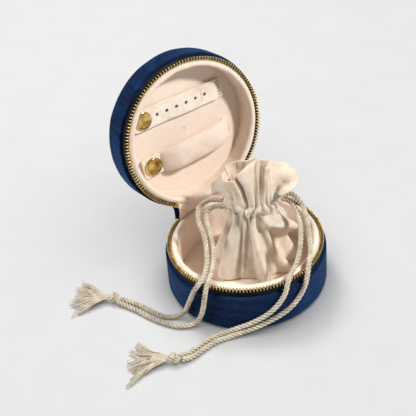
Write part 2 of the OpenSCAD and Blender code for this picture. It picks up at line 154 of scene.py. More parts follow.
def make_camera():
    """The camera that sees the box from its front left corner, from above and slightly rolled."""
    azimuth, elevation, roll = (math.radians(a) for a in (-30.634, 38.33, -5.522))
    back = Vector((math.sin(azimuth) * math.cos(elevation), -math.cos(azimuth) * math.cos(elevation),
                   math.sin(elevation)))
    right = Vector((math.cos(azimuth), math.sin(azimuth), 0))
    up = back.cross(right)
    x_axis = right * math.cos(roll) + up * math.sin(roll)
    y_axis = up * math.cos(roll) - right * math.sin(roll)
    aim = Vector((0, 0, 0.031)) - x_axis * 0.02294 + y_axis * 0.01857
    axes = Matrix((x_axis, y_axis, back)).transposed().to_4x4()
    data = bpy.data.cameras.new("camera")
    data.sensor_width = 36
    data.lens = 94.14
    data.clip_start = 0.02
    camera = new_object("camera", data)
    camera.matrix_world = Matrix.Translation(aim + back * 0.6735) @ axes
    bpy.context.scene.camera = camera


def area_light(name, position, aim, size, power, receivers, colour=(1, 1, 1)):
    data = bpy.data.lights.new(name, "AREA")
    data.shape = "DISK"
    data.size = size
    data.energy = power
    data.color = colour
    light = new_object(name, data)
    light.location = position
    light.rotation_euler = (Vector(position) - Vector(aim)).to_track_quat("Z", "Y").to_euler()
    light.light_linking.receiver_collection = receivers


# ---- finishes

def new_finish(name, **settings):
    """A material and its node tree; settings are the shader's socket names with _ for spaces."""
    material = bpy.data.materials.new(name)
    material.use_nodes = True
    for key, value in settings.items():
        material.node_tree.nodes["Principled BSDF"].inputs[key.replace("_", " ")].default_value = value
    return material, material.node_tree


def node(tree, kind, inputs=None, **settings):
    made = tree.nodes.new("ShaderNode" + kind)
    for key, value in settings.items():
        setattr(made, key, value)
    for key, value in (inputs or {}).items():
        if isinstance(value, bpy.types.NodeSocket):
            tree.links.new(value, made.inputs[key])
        else:
            made.inputs[key].default_value = value
    return made


def place_of(tree, stretch=(1, 1, 1), source="Object"):
    where = node(tree, "TexCoord")
    return node(tree, "Mapping", {"Vector": where.outputs[source], "Scale": stretch}).outputs["Vector"]


def noise_of(tree, where, scale, detail, roughness=0.55, distortion=0.0):
    made = node(tree, "TexNoise", {"Vector": where, "Scale": scale, "Detail": detail,
                                   "Roughness": roughness, "Distortion": distortion})
    return made.outputs["Fac"]


def wave_of(tree, where, scale, direction, distortion):
    made = node(tree, "TexWave", {"Vector": where, "Scale": scale, "Distortion": distortion, "Detail": 2.0},
                bands_direction=direction)
    return made.outputs["Fac"]


def maths(tree, operation, a, b):
    return node(tree, "Math", {0: a, 1: b}, operation=operation).outputs[0]


def weighed(tree, a, share_a, b, share_b):
    """The sum of two values, each times its share."""
    return maths(tree, "ADD", maths(tree, "MULTIPLY", a, share_a), maths(tree, "MULTIPLY", b, share_b))


def ramp_of(tree, factor, stops):
    made = node(tree, "ValToRGB", {"Fac": factor})
    points = made.color_ramp.elements
    while len(points) < len(stops):
        points.new(0.5)
    for point, (at, colour) in zip(points, stops):
        point.position = at
        point.color = (*colour, 1)
    return made.outputs["Color"]


def bump_of(tree, height, distance, strength, under=None):
    inputs = {"Height": height, "Distance": distance, "Strength": strength}
    if under is not None:
        inputs["Normal"] = under
    return node(tree, "Bump", inputs).outputs["Normal"]


def wired(material, **sockets):
    """The material, with its shader's inputs linked; _ stands for the space in their names."""
    for key, value in sockets.items():
        shader = material.node_tree.nodes["Principled BSDF"]
        material.node_tree.links.new(value, shader.inputs[key.replace("_", " ")])
    return material


def velvet_finish():
    """Navy crushed pile: brushed patches of light and dark, a soft sheen and a fine nap."""
    material, tree = new_finish(
        "navy_velvet", Roughness=0.85, Sheen_Weight=0.4, Sheen_Roughness=0.3,
        Sheen_Tint=(0.10, 0.30, 0.72, 1), Specular_IOR_Level=0.12)
    where = place_of(tree)
    brushed = noise_of(tree, place_of(tree, (0.55, 0.55, 2.6)), 105, 5, 0.68, 0.5)
    fine = noise_of(tree, where, 620, 3)
    colour = ramp_of(tree, weighed(tree, brushed, 0.75, fine, 0.25), [
        (0.32, (0.001, 0.004, 0.016)), (0.47, (0.003, 0.014, 0.052)),
        (0.58, (0.005, 0.025, 0.09)), (0.74, (0.015, 0.068, 0.21))])
    pile = bump_of(tree, noise_of(tree, where, 3600, 2), 0.0004, 0.5)
    return wired(material, Base_Color=colour, Normal=bump_of(tree, brushed, 0.0022, 0.65, pile))


def suede_finish(name, light, dark, grain=1.0, blotch=0.0):
    """Cream brushed microfibre with a faint mottle."""
    material, tree = new_finish(name, Roughness=0.9, Sheen_Weight=0.25, Sheen_Roughness=0.5,
                                Sheen_Tint=(1, 0.93, 0.86, 1), Specular_IOR_Level=0.15)
    where = place_of(tree)
    broad = noise_of(tree, where, 55, 4, 0.6, 0.4)
    fine = noise_of(tree, where, 900, 4, 0.65)
    colour = ramp_of(tree, weighed(tree, broad, 0.45 + blotch, fine, 0.55), [(0.36, dark), (0.66, light)])
    nap = bump_of(tree, noise_of(tree, where, 2600, 3, 0.7), 0.00025, 0.45 * grain)
    return wired(material, Base_Color=colour, Normal=bump_of(tree, fine, 0.0005, 0.25 * grain, nap))


def cotton_finish():
    """Ivory plain-woven cotton, thin enough for light to warm its folds."""
    material, tree = new_finish(
        "ivory_cotton", Roughness=0.85, Sheen_Weight=0.2, Sheen_Roughness=0.5, Specular_IOR_Level=0.2,
        Subsurface_Weight=0.25, Subsurface_Scale=0.004, Subsurface_Radius=(1.0, 0.42, 0.2))
    where = place_of(tree)
    broad = noise_of(tree, where, 130, 4, 0.6)
    colour = ramp_of(tree, broad, [(0.3, (0.66, 0.51, 0.39)), (0.62, (0.80, 0.68, 0.57))])
    warp = wave_of(tree, place_of(tree, (1, 1, 0.25)), 620, "DIAGONAL", 1.5)
    weft = wave_of(tree, place_of(tree, (0.15, 0.15, 1)), 620, "Z", 1.5)
    weave = bump_of(tree, maths(tree, "ADD", warp, weft), 0.00012, 0.35)
    creases = bump_of(tree, noise_of(tree, where, 420, 4), 0.0011, 0.4, weave)
    return wired(material, Base_Color=colour, Normal=creases)


def yarn_finish(name, light, dark):
    """Unbleached cotton yarn: fibres run along each ply, by the mesh's own UV."""
    material, tree = new_finish(name, Roughness=0.8, Sheen_Weight=0.3, Sheen_Roughness=0.5,
                                Specular_IOR_Level=0.2)
    along = place_of(tree, (0.5, 9, 1), "UV")
    fibres = noise_of(tree, along, 4.0, 4, 0.65, 0.5)
    broad = noise_of(tree, place_of(tree), 240, 3)
    colour = ramp_of(tree, weighed(tree, fibres, 0.6, broad, 0.4), [(0.34, dark), (0.62, light)])
    return wired(material, Base_Color=colour, Normal=bump_of(tree, fibres, 0.0004, 0.6))


def tape_finish():
    """Black woven zip tape, a herringbone of fine ribs."""
    material, tree = new_finish("zip_tape", Roughness=0.8, Sheen_Weight=0.05, Specular_IOR_Level=0.12)
    where = place_of(tree)
    tone = noise_of(tree, where, 900, 3)
    colour = ramp_of(tree, tone, [(0.3, (0.003, 0.003, 0.004)), (0.7, (0.014, 0.014, 0.018))])
    ribs = wave_of(tree, where, 420, "DIAGONAL", 2.0)
    rows = wave_of(tree, where, 500, "Z", 0.5)
    weave = bump_of(tree, maths(tree, "ADD", ribs, rows), 0.0003, 0.6)
    return wired(material, Base_Color=colour, Normal=weave)


def metal_finish(name, light, dark, roughness, wear=0.25):
    """Brass with fine scratches, darker where it has dulled."""
    material, tree = new_finish(name, Metallic=1.0)
    where = place_of(tree)
    dull = noise_of(tree, where, 320, 4, 0.6)
    scratch = noise_of(tree, place_of(tree, (1, 1, 7)), 900, 3, 0.6)
    rough = node(tree, "MapRange", {"Value": scratch, "To Min": roughness, "To Max": roughness + wear})
    colour = ramp_of(tree, dull, [(0.32, dark), (0.62, light)])
    return wired(material, Base_Color=colour, Roughness=rough.outputs["Result"],
                 Normal=bump_of(tree, scratch, 0.00002, 0.15))


def plain_finish(name, light, dark, scale):
    """Board, foam, the floor, and the painted shade under the punched holes: a matt surface with a grain."""
    material, tree = new_finish(name, Roughness=0.85)
    grain = noise_of(tree, place_of(tree), scale, 4, 0.6)
    colour = ramp_of(tree, grain, [(0.3, dark), (0.7, light)])
    return wired(material, Base_Color=colour, Normal=bump_of(tree, grain, 0.0002, 0.2))


# ---- mesh helpers

def turned(x, y, angle):
    """x and y, turned about the origin."""
    c, s = math.cos(angle), math.sin(angle)
    return x * c - y * s, x * s + y * c


def opened(points):
    """Points of the shut lid, turned back to the open one."""
    y, z = turned(points[..., 1] - HINGE_Y, points[..., 2] - HINGE_Z, -OPEN)
    return np.stack([points[..., 0], HINGE_Y + y, HINGE_Z + z], -1)


def settled(points, body):
    """Points of the shut box, where their body stands at rest."""
    return opened(points) if body == "lid" else points


def on_panel(points):
    """x, y in the shut lid and height above its padded panel."""
    return opened(np.stack([points[..., 0], points[..., 1], PANEL_Z - points[..., 2]], -1))


def askew(points):
    """The ring roll's place, turned a little about its sewn end."""
    points = np.asarray(points, float)
    x, y = turned(points[..., 0] - STRAP_RIGHT, points[..., 1], -ROLL_SKEW)
    return np.stack([STRAP_RIGHT + x, ROLL_Y + y, points[..., 2]], -1)


def soft_noise(points, scale, seed):
    """Smooth noise from -1 to 1 at points in mm; scale is the size of a lump in mm."""
    flat = np.asarray(points, float).reshape(-1, 3) / scale
    values = [noise.noise(Vector(p) + Vector((seed, 3.1 * seed, 7.7))) for p in flat]
    return np.array(values).reshape(np.shape(points)[:-1])


def build(name, vertices, faces, finish, uv=None):
    """A smooth mesh from points in mm."""
    mesh = bpy.data.meshes.new(name)
    mesh.from_pydata((np.asarray(vertices, float) * MM).tolist(), [], [list(f) for f in faces])
    if uv is not None:
        layer = mesh.uv_layers.new(name="UVMap")
        loops = np.zeros(len(mesh.loops), int)
        mesh.loops.foreach_get("vertex_index", loops)
        layer.data.foreach_set("uv", np.asarray(uv, float)[loops].ravel())
    mesh.materials.append(finish)
    shape = bmesh.new()
    shape.from_mesh(mesh)
    bmesh.ops.recalc_face_normals(shape, faces=shape.faces)
    for face in shape.faces:
        face.smooth = True
    shape.to_mesh(mesh)
    shape.free()
    return new_object(name, mesh)


def grid_faces(rows, cols, wrap_rows, wrap_cols, first=0):
    """Quads between neighbours in a grid of points, from the vertex called first."""
    faces = []
    for i in range(rows if wrap_rows else rows - 1):
        for j in range(cols if wrap_cols else cols - 1):
            k, m = (i + 1) % rows, (j + 1) % cols
            faces.append(tuple(first + p * cols + q for p, q in ((i, j), (i, m), (k, m), (k, j))))
    return faces


def fan(start, count, tip):
    """Triangles from a ring of points to one that closes it."""
    return [(start + j, start + (j + 1) % count, tip) for j in range(count)]


def grid(name, points, finish, wrap_rows=False, wrap_cols=False, ends=()):
    """A surface through rows of points; ends lists the rows that close with a cap."""
    points = np.asarray(points, float)
    rows, cols = points.shape[:2]
    faces = grid_faces(rows, cols, wrap_rows, wrap_cols)
    vertices = points.reshape(-1, 3)
    for row in ends:
        faces += fan((row % rows) * cols, cols, len(vertices))
        vertices = np.vstack([vertices, points[row].mean(0)])
    return build(name, vertices, faces, finish)


def place(obj, body, stands_for=()):
    """Ties a piece to its body, and hides the CAD nodes that it stands for."""
    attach(obj, body)
    if stands_for:
        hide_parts(*stands_for)
    return obj


def modify(obj, kind, **settings):
    """Adds a modifier and applies it."""
    made = obj.modifiers.new(kind, kind)
    for key, value in settings.items():
        setattr(made, key, value)
    bpy.ops.object.select_all(action="DESELECT")
    obj.select_set(True)
    bpy.context.view_layer.objects.active = obj
    bpy.ops.object.modifier_apply(modifier=made.name)


def arc(x, y, r, start, stop, count=8):
    """Points of an arc in the plane, between two angles in degrees."""
    angles = np.radians(np.linspace(start, stop, count))
    return [(x + r * math.cos(a), y + r * math.sin(a)) for a in angles]


def resample(outline, step):
    """Points along an outline, no further apart than step."""
    made = [np.array(outline[0], float)]
    for a, b in zip(outline[:-1], outline[1:]):
        a, b = np.array(a, float), np.array(b, float)
        count = max(1, int(np.ceil(np.linalg.norm(b - a) / step)))
        made += [a + (b - a) * k / count for k in range(1, count + 1)]
    return np.array(made)


def round_at(a, r, z):
    """Points at the angle a from the back, the radius r and the height z."""
    return np.stack([r * np.sin(a), r * np.cos(a), z], -1)


def ring_points(profile, angles, wobble):
    """A profile of (radius, height) swept round the box; wobble(angle, radius, height) moves it."""
    a = np.asarray(angles)[:, None]
    r, z = profile[:, 0] + 0 * a, profile[:, 1] + 0 * a
    if wobble:
        dr, dz = wobble(a, r, z)
        r, z = r + dr, z + dz
    return round_at(a, r, z)


def all_round(count):
    return np.radians(np.arange(count) * 360 / count)


def swept(part, finish, outline, step, count, wobble=None):
    """A velvet or a lining: an outline of (radius, height), swept right round the box."""
    look, slot, node_end = "_cloth", "cream_lining", "_lining"
    if finish is velvet:
        look, slot, node_end = "_pile", "navy_velvet", "_velvet"
    body = part.split("_")[0]
    points = settled(ring_points(resample(outline, step), all_round(count), wobble), body)
    return place(grid(part + look, points, finish, wrap_rows=True), body, [part + node_end])


def apart(a, at):
    """How far the angles a are from the one called at, in degrees."""
    return np.degrees(np.angle(np.exp(1j * (a - np.radians(at)))))


def run_along(line):
    """The distance along a line at each of its points."""
    return np.r_[0, np.cumsum(np.linalg.norm(np.diff(line, axis=0), axis=1))]


def unit(v):
    v = np.asarray(v, float)
    return v / np.maximum(np.linalg.norm(v, axis=-1, keepdims=True), 1e-9)


# ---- cords

def spline(a, b, c, d, t):
    """A smooth way from b to c as t goes from 0 to 1, with a before them and d behind."""
    return 0.5 * (2 * b + (c - a) * t + (2 * a - 5 * b + 4 * c - d) * t * t
                  + (3 * b - a - 3 * c + d) * t ** 3)


def smooth_route(points, step):
    """A smooth line through the route's points, in even steps, in mm."""
    p = np.asarray(points, float)
    p = np.vstack([2 * p[0] - p[1], p, 2 * p[-1] - p[-2]])
    fine = []
    for i in range(1, len(p) - 2):
        fine += [spline(*p[i - 1:i + 3], t) for t in np.linspace(0, 1, 12, endpoint=False)]
    fine.append(p[-2])
    fine = np.array(fine)
    run = run_along(fine)
    count = int(round(run[-1] / step)) + 1
    even = np.linspace(0, run[-1], count)
    return np.stack([np.interp(even, run, fine[:, k]) for k in range(3)], 1), run[-1]


def frames_along(line):
    """Two directions across the line at each of its points, carried along without twisting."""
    forward = unit(np.gradient(line, axis=0))
    across = [unit(np.cross(forward[0], (0.3, 0.2, 1)))]
    for f in forward[1:]:
        last = across[-1] - f * np.dot(across[-1], f)
        across.append(unit(last))
    across = np.array(across)
    return forward, across, np.cross(forward, across)


def tube_points(line, radius, sides):
    """Rings of a tube round a line; radius is one number or one for each point."""
    _, across, up = frames_along(line)
    angles = np.arange(sides) * 2 * math.pi / sides
    radius = np.broadcast_to(radius, (len(line),))[:, None, None]
    return line[:, None, :] + radius * (np.cos(angles)[None, :, None] * across[:, None, :]
                                        + np.sin(angles)[None, :, None] * up[:, None, :])


def join_tubes(name, tubes, finish):
    """One mesh from several (line, radius, sides) tubes with rounded ends and a UV that runs along."""
    vertices, faces, uv = [], [], []
    for line, radius, sides in tubes:
        rings = tube_points(line, radius, sides)
        first = len(vertices)
        rows = len(rings)
        run = run_along(line)
        vertices += rings.reshape(-1, 3).tolist()
        uv += [(run[i], j / sides) for i in range(rows) for j in range(sides)]
        faces += grid_faces(rows, sides, False, True, first)
        for row, tip in ((0, line[0]), (rows - 1, line[-1])):
            faces += fan(first + row * sides, sides, len(vertices))
            vertices.append(list(tip))
            uv.append((run[row], 0.5))
    return build(name, vertices, faces, finish, uv)


def plies(line, step, thickness=CORD_D, pitch=CORD_PITCH, twist=0.0):
    """The three plies of a twisted cord along a line."""
    _, across, up = frames_along(line)
    turn = np.arange(len(line)) * step * 2 * math.pi / pitch + twist
    reach = thickness * 0.31
    made = []
    for k in range(3):
        a = turn + k * 2 * math.pi / 3
        lay = line + reach * (np.cos(a)[:, None] * across + np.sin(a)[:, None] * up)
        made.append((lay, thickness * 0.235, 8))
    return made


def make_cord(name, seed):
    """One drawcord, with the line that it follows and its length in mm."""
    step = 0.55
    line, length = smooth_route(ROUTES[name], step)
    cord = join_tubes(name + "_twisted", plies(line, step, twist=seed), yarn)
    place(cord, "pouch", [name])
    return cord, line, length


def knot_line(at, turn, size):
    """An overhand knot: a trefoil that lies on the floor side, pulled tight."""
    t = np.linspace(0, 2 * math.pi, 90, endpoint=False)
    x = np.sin(t) + 2 * np.sin(2 * t)
    y = np.cos(t) - 2 * np.cos(2 * t)
    z = -np.sin(3 * t)
    p = np.stack([x * 0.95, y * 0.85, z * 1.15], 1) * size
    return np.stack([*turned(p[:, 0], p[:, 1], turn), p[:, 2]], 1) + np.array(at)


def make_knot(side):
    at, turn = KNOTS[side]
    line = knot_line(at, turn, 0.86)
    line = np.vstack([line, line[:2]])
    step = np.linalg.norm(np.diff(line, axis=0), axis=1).mean()
    knot = join_tubes(side + "_knot_tied", plies(line, step, 2.9, 6.2), yarn)
    return place(knot, "pouch", [side + "_knot"])


def make_tassel(side, seed):
    """The cord's end, untwisted and combed out into curly strands."""
    rng = random.Random(seed)
    (x, y, z), turn = KNOTS[side]
    start = KNOT_R - 1.8
    tubes = []
    for clump in range(12):
        spread = (clump / 11 - 0.5) * 2
        aim = spread * 0.56 + rng.uniform(-0.07, 0.07)
        reach = TASSEL_LEN * 1.06 * (1 - 0.16 * abs(spread) * rng.random()) * rng.uniform(0.86, 1.0)
        lift = rng.uniform(0.3, 3.6)
        wave, curl, phase = rng.uniform(0.8, 1.7), rng.uniform(5.5, 8.5), rng.uniform(0, 6.28)
        for strand in range(9):
            own = reach * rng.uniform(0.8, 1.0)
            t = np.linspace(0, 1, 22)
            out = start + (own - start) * t
            side_way = out * math.tan(aim) * np.sqrt(t)
            side_way += wave * t * np.sin(curl * t + phase)
            side_way += (strand - 4) * 0.28 * (0.6 + t) + rng.uniform(-0.9, 0.9) * t ** 2
            rise = (z - 0.6) * (1 - t) + lift * t * (1.2 - t) + 0.35
            rise += 0.5 * wave * t * np.cos(curl * t + phase) + rng.uniform(-0.5, 0.9) * t
            east, north = turned(out, side_way, turn)
            line = np.stack([x + east, y + north, np.clip(rise, 0.35, 5.6)], 1)
            tubes.append((line, 0.34 * (1 - 0.45 * t), 5))
    tassel = join_tubes(side + "_tassel_combed", tubes, yarn)
    return place(tassel, "pouch", [side + "_tassel"])


# ---- velvet cover

def puff(amount, scale, seed):
    """A wobble of soft lumps for the velvet and the tape, without a seam."""
    def wobble(a, r, z):
        at = round_at(a, r, z)
        return amount * soft_noise(at, scale, seed), amount * 0.5 * soft_noise(at, scale, seed + 9)
    return wobble


def base_velvet():
    low, top = 0.3, BASE_ROW - TAPE_BAND
    outline = [(SEAM_R - 0.3, low + 0.5), (SEAM_R, low)]
    outline += arc(OUT_R - BASE_EDGE, low + BASE_EDGE, BASE_EDGE, -90, 0)
    outline += arc(OUT_R - VELVET, top - VELVET, VELVET, 0, 90, 6) + [(WALL_IN, top), (WALL_IN, top - 1.5)]
    swept("base_side", velvet, outline, 1.1, 300, puff(0.22, 9, 1))
    outline = [(SEAM_R - 0.1, 0.9), (SEAM_R - 0.5, 0.25), (SEAM_R - 3, 0.02), (0.5, 0.02)]
    swept("base_bottom", velvet, outline, 2.0, 120)


def lid_velvet():
    low = LID_ROW + TAPE_BAND
    outline = [(WALL_IN, low + 1.5), (WALL_IN, low)] + arc(OUT_R - VELVET, low + VELVET, VELVET, -90, 0, 6)
    outline += arc(OUT_R - LID_EDGE, LID_TOP - LID_EDGE, LID_EDGE, 0, 90, 10)
    outline += [(SEAM_R - 0.3, LID_TOP - 0.5)]
    swept("lid_side", velvet, outline, 1.1, 300, puff(0.25, 9, 4))
    outline = [(SEAM_R - 0.1, LID_TOP - 0.8), (SEAM_R - 0.6, LID_TOP - 0.1), (SEAM_R - 3, LID_TOP + 0.15),
               (25, LID_TOP + 0.5), (0.5, LID_TOP + 0.6)]
    swept("lid_top", velvet, outline, 1.5, 200, puff(0.15, 14, 6))


# ---- linings

def crease(a, at, width, depth):
    """A narrow dent at one angle."""
    return -depth * np.exp(-(apart(a, at) / width) ** 2)


def lining_outline(foot, rim_top):
    """The padded wall, its soft rounded rim and the hem that meets the teeth."""
    top = rim_top + 0.35
    outline = [(CAVITY_R, foot), (CAVITY_R, top - 3.4), (CAVITY_R - 0.25, top - 2.6)]
    outline += arc(RIM_MID + 0.55, top - RIM_R - 0.1, RIM_R + 0.1, 168, 62, 9)
    return outline + [(45.3, top - 0.45), (46.0, top - 1.1), (46.15, top - 3), (46.15, top - 6)]


def wall_wobble(seed, seam_at):
    """Soft waves down the padded wall, small puckers along the rim's stitching, and one seam."""
    def wobble(a, r, z):
        at = round_at(a, r, z * 0.35)
        inside = np.clip(RIM_MID - r, 0, 1)
        dr = -0.45 * inside * (soft_noise(at, 8, seed) + 0.5 * soft_noise(at, 3.5, seed + 2))
        dr = dr - crease(a, seam_at, 0.7, 0.7) * inside
        dz = 0.14 * soft_noise(at, 4, seed + 5) + crease(a, seam_at, 0.9, 0.3) * (1 - inside)
        return dr, dz
    return wobble


def base_lining():
    outline = lining_outline(FLOOR_Z - 0.6, BASE_ROW)
    swept("base_wall", suede, outline, 0.7, 360, wall_wobble(3, 293))

    def waves(a, r, z):
        return 0 * r, 0.2 * soft_noise(round_at(a, r, z), 12, 8) * np.clip((CAVITY_R - r) / 6, 0, 1)
    outline = [(CAVITY_R + 0.6, FLOOR_Z - 0.5), (CAVITY_R - 1, FLOOR_Z - 0.2),
               (CAVITY_R - 5, FLOOR_Z + 0.2), (25, FLOOR_Z + 0.35), (0.4, FLOOR_Z + 0.4)]
    swept("base_floor", suede, outline, 1.2, 160, waves)


def lid_lining():
    def wobble(a, r, z):
        dr, dz = wall_wobble(11, 208)(a, r, -z)
        return dr, -dz
    outline = [(r, -z) for r, z in lining_outline(-PANEL_Z - 0.6, -LID_ROW)]
    swept("lid_wall", suede, outline, 0.7, 360, wobble)

    def waves(a, r, z):
        at = round_at(a, r, z)
        inner = np.clip((CAVITY_R - r) / 5, 0, 1)
        return 0 * r, -0.25 * inner * soft_noise(at, 15, 13) - 0.1 * inner * soft_noise(at, 5, 2)
    outline = [(CAVITY_R + 0.6, PANEL_Z + 0.6), (CAVITY_R - 0.8, PANEL_Z + 0.3),
               (CAVITY_R - 3, PANEL_Z - 0.15), (CAVITY_R - 9, PANEL_Z - 0.3), (0.4, PANEL_Z - 0.3)]
    swept("lid_panel", suede, outline, 1.0, 200, waves)


# ---- zip

def tape(name, row_z, side, body):
    """The woven tape, from under the teeth to inside the wall, with a thicker edge under the teeth."""
    over = 1.3
    angles = np.radians(np.arange(ROW_START - over, 360 - ROW_END + over, 0.8))
    half = TAPE_T / 2
    edge = row_z - side * 0.8
    foot = row_z - side * (TAPE_BAND + 3)
    bead = 0.95
    outline = [(TEETH_R - half, foot), (TEETH_R - half, edge - side * 1.6),
               (TEETH_R - bead, edge - side * 1.0), (TEETH_R - bead, edge),
               (TEETH_R - bead + 0.3, edge + side * 0.35), (TEETH_R + bead - 0.3, edge + side * 0.35),
               (TEETH_R + bead, edge), (TEETH_R + bead, edge - side * 1.0),
               (TEETH_R + half, edge - side * 1.9), (TEETH_R + half, foot)]
    points = ring_points(resample(outline, 0.6), angles, puff(0.05, 4, 5))
    band = grid(name + "_woven", settled(points, body), tape_cloth, wrap_cols=True)
    place(band, body, [name])


def tooth_shape():
    """One tooth, centred on zero: a rounded bar across the tape, narrow at its ends, with a raised head."""
    w, d, h = TOOTH
    shape = bmesh.new()
    bmesh.ops.create_cube(shape, size=1)
    bmesh.ops.scale(shape, vec=(w, d, h), verts=shape.verts)
    bmesh.ops.bevel(shape, geom=shape.edges[:], offset=0.26, segments=2, profile=0.6, affect="EDGES")
    for vertex in shape.verts:
        across = vertex.co.y / (d / 2)
        up = vertex.co.z / (h / 2)
        vertex.co.x *= 1 - 0.18 * abs(across) - 0.10 * max(-up, 0)
        vertex.co.z += 0.20 * (1 - across ** 2) * max(up, 0) - 0.12 * max(up, 0)
    vertices = [tuple(v.co) for v in shape.verts]
    faces = [[v.index for v in f.verts] for f in shape.faces]
    shape.free()
    return np.array(vertices), faces


def teeth(name, row_z, side, body):
    """The row of teeth on one half of the zip, none of them quite straight."""
    shape, faces = tooth_shape()
    shape = shape * (1, 1, side)
    count = int((360 - ROW_START - ROW_END) / TOOTH_STEP + 1e-6)
    vertices, all_faces = [], []
    rng = random.Random(4)
    for i in range(1, count + 1):
        a = math.radians(ROW_START + i * TOOTH_STEP)
        lean = rng.uniform(-0.05, 0.05)
        x = shape[:, 0] + lean * shape[:, 2]
        y = shape[:, 1] + TEETH_R
        z = shape[:, 2] + row_z
        made = np.stack([*turned(x, y, -a), z], 1)
        all_faces += [[len(vertices) + k for k in f] for f in faces]
        vertices += settled(made, body).tolist()
    row = build(name + "_cast", vertices, all_faces, zip_brass)
    place(row, body, [name])


def dress(node_name, finish, edge=0.0):
    """Gives a CAD node its finish and, where asked, eased edges."""
    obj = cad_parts[node_name]
    obj.data.materials.clear()
    obj.data.materials.append(finish)
    if edge:
        weld = obj.modifiers.new("weld", "WELD")
        weld.merge_threshold = 1e-6
        ease = obj.modifiers.new("ease", "BEVEL")
        ease.width = edge * MM
        ease.segments = 3
        ease.limit_method = "ANGLE"
        ease.angle_limit = math.radians(38)
        ease.harden_normals = True


# ---- gusset

def gusset(name, r, low, high, finish, thick):
    """A soft sheet that rises from the base and turns back into the open lid."""
    rows = np.radians(np.linspace(-ROW_END, GUSSET_END, 46))
    t = np.linspace(0, 1, 16)[None, :, None]
    foot = round_at(rows, r, 0 * rows + low)
    head = opened(round_at(rows, r, 0 * rows + high))
    lean = np.array([0, math.sin(OPEN), math.cos(OPEN)])
    rise = 0.3 * np.linalg.norm(head - foot, axis=1)[:, None]
    p0, p1, p2, p3 = (x[:, None, :] for x in (foot, foot + rise * (0, 0, 1), head - rise * lean, head))
    points = p0 * (1 - t) ** 3 + 3 * p1 * t * (1 - t) ** 2 + 3 * p2 * t * t * (1 - t) + p3 * t ** 3
    swell = np.sin(math.pi * t[..., 0])
    points[..., 1] += 0.5 * swell * soft_noise(points, 5, r)
    points[..., 2] += 0.3 * swell * soft_noise(points, 4, r + 4)
    sheet = grid(name + "_cloth", points, finish)
    modify(sheet, "SOLIDIFY", thickness=thick * MM, offset=0)
    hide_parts(name)
    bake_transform(sheet)


# ---- straps in the lid

def prism_faces(count):
    """The sides and ends between a lower and an upper ring, each of so many points."""
    sides = [(j, (j + 1) % count, count + (j + 1) % count, count + j) for j in range(count)]
    return sides + [tuple(range(count))[::-1], tuple(range(count, 2 * count))]


def slab(name, outline, low, high, finish, put, seed=0.0, lift=None):
    """A soft flat piece with rounded edges: a closed outline in x, y, between two heights."""
    mesh = bpy.data.meshes.new(name)
    mesh.from_pydata(at_height(outline, low) + at_height(outline, high), [], prism_faces(len(outline)))
    obj = new_object(name, mesh)
    modify(obj, "REMESH", mode="VOXEL", voxel_size=0.27)
    modify(obj, "SMOOTH", factor=0.5, iterations=3)
    points = np.array([v.co for v in obj.data.vertices])
    if lift:
        points[:, 2] += lift(points[:, 0])
    points[:, 2] += 0.07 * soft_noise(points, 3.2, seed)
    placed = put(points) * MM
    for vertex, co in zip(obj.data.vertices, placed):
        vertex.co = co
    obj.data.materials.append(finish)
    for polygon in obj.data.polygons:
        polygon.use_smooth = True
    return obj


def rounded_box(x0, x1, y0, y1, r):
    corners = [(x1 - r, y1 - r, 0), (x0 + r, y1 - r, 90), (x0 + r, y0 + r, 180), (x1 - r, y0 + r, 270)]
    return [p for x, y, a in corners for p in arc(x, y, r, a, a + 90, 6)]


def oval(x, y, reach_x, reach_y, count):
    return [(x + reach_x * math.cos(a), y + reach_y * math.sin(a)) for a in all_round(count)]


def at_height(outline, z):
    return [(x, y, z) for x, y in outline]


def stitch_run(name, path, put, body, finish, length, gap, radius):
    """Stitches along a closed path of (x, y, height): short threads that dive in at both ends."""
    path = np.vstack([path, path[:1]])
    run = run_along(path)
    tubes = []
    for start in np.arange(gap / 2, run[-1] - length, length + gap):
        s = np.linspace(start, start + length, 7)
        line = np.stack([np.interp(s, run, path[:, k]) for k in range(3)], 1)
        line[:, 2] += radius * 1.1 * np.sin(np.linspace(0, math.pi, 7)) - radius * 0.7
        tubes.append((put(line), radius, 5))
    return place(join_tubes(name, tubes, finish), body)


def strap_place(points):
    return on_panel(np.asarray(points, float) + (0, STRAP_Y, 0))


def roll_place(points):
    return on_panel(askew(points))


def punch(strap, number):
    """Cuts one of the strap's holes and lays a dark brown disc under it, painted shade where the panel shows
    through the hole.
    """
    ring = oval((number - 1 - (HOLES - 1) / 2) * HOLE_STEP, 0, HOLE_R, HOLE_R, 20)
    ends = [strap_place(at_height(ring, z)) for z in (STRAP_GAP - 0.6, STRAP_FACE + 1)]
    cutter = build("hole_cutter", np.vstack(ends), prism_faces(len(ring)), hole_shade_finish)
    modify(strap, "BOOLEAN", object=cutter, operation="DIFFERENCE", solver="EXACT")
    bpy.data.objects.remove(cutter)
    # a dark brown disc in the gap under the hole: painted shade for the panel seen through it
    low = STRAP_GAP + 0.1
    back = slab("strap_hole_painted_shade_%d" % number, ring, low, low + 0.3, hole_shade_finish, strap_place)
    place(back, "earring_flap")


def earring_strap():
    """The strap with its holes; its sewn end bends down to the panel."""
    def lift(x):
        sewn = np.clip((x - (STRAP_RIGHT - 7)) / 5, 0, 1)
        return -1.25 * sewn * sewn * (3 - 2 * sewn) + 0.25 * np.sin(x * 0.19 + 1) * (1 - sewn)
    outline = rounded_box(STRAP_LEFT, STRAP_RIGHT, -STRAP_HALF, STRAP_HALF, 1.6)
    strap = slab("earring_strap_cloth", outline, STRAP_GAP, STRAP_FACE, strap_cloth, strap_place, 2.0, lift)
    for number in range(1, HOLES + 1):
        punch(strap, number)
    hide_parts("earring_strap")
    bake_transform(strap)


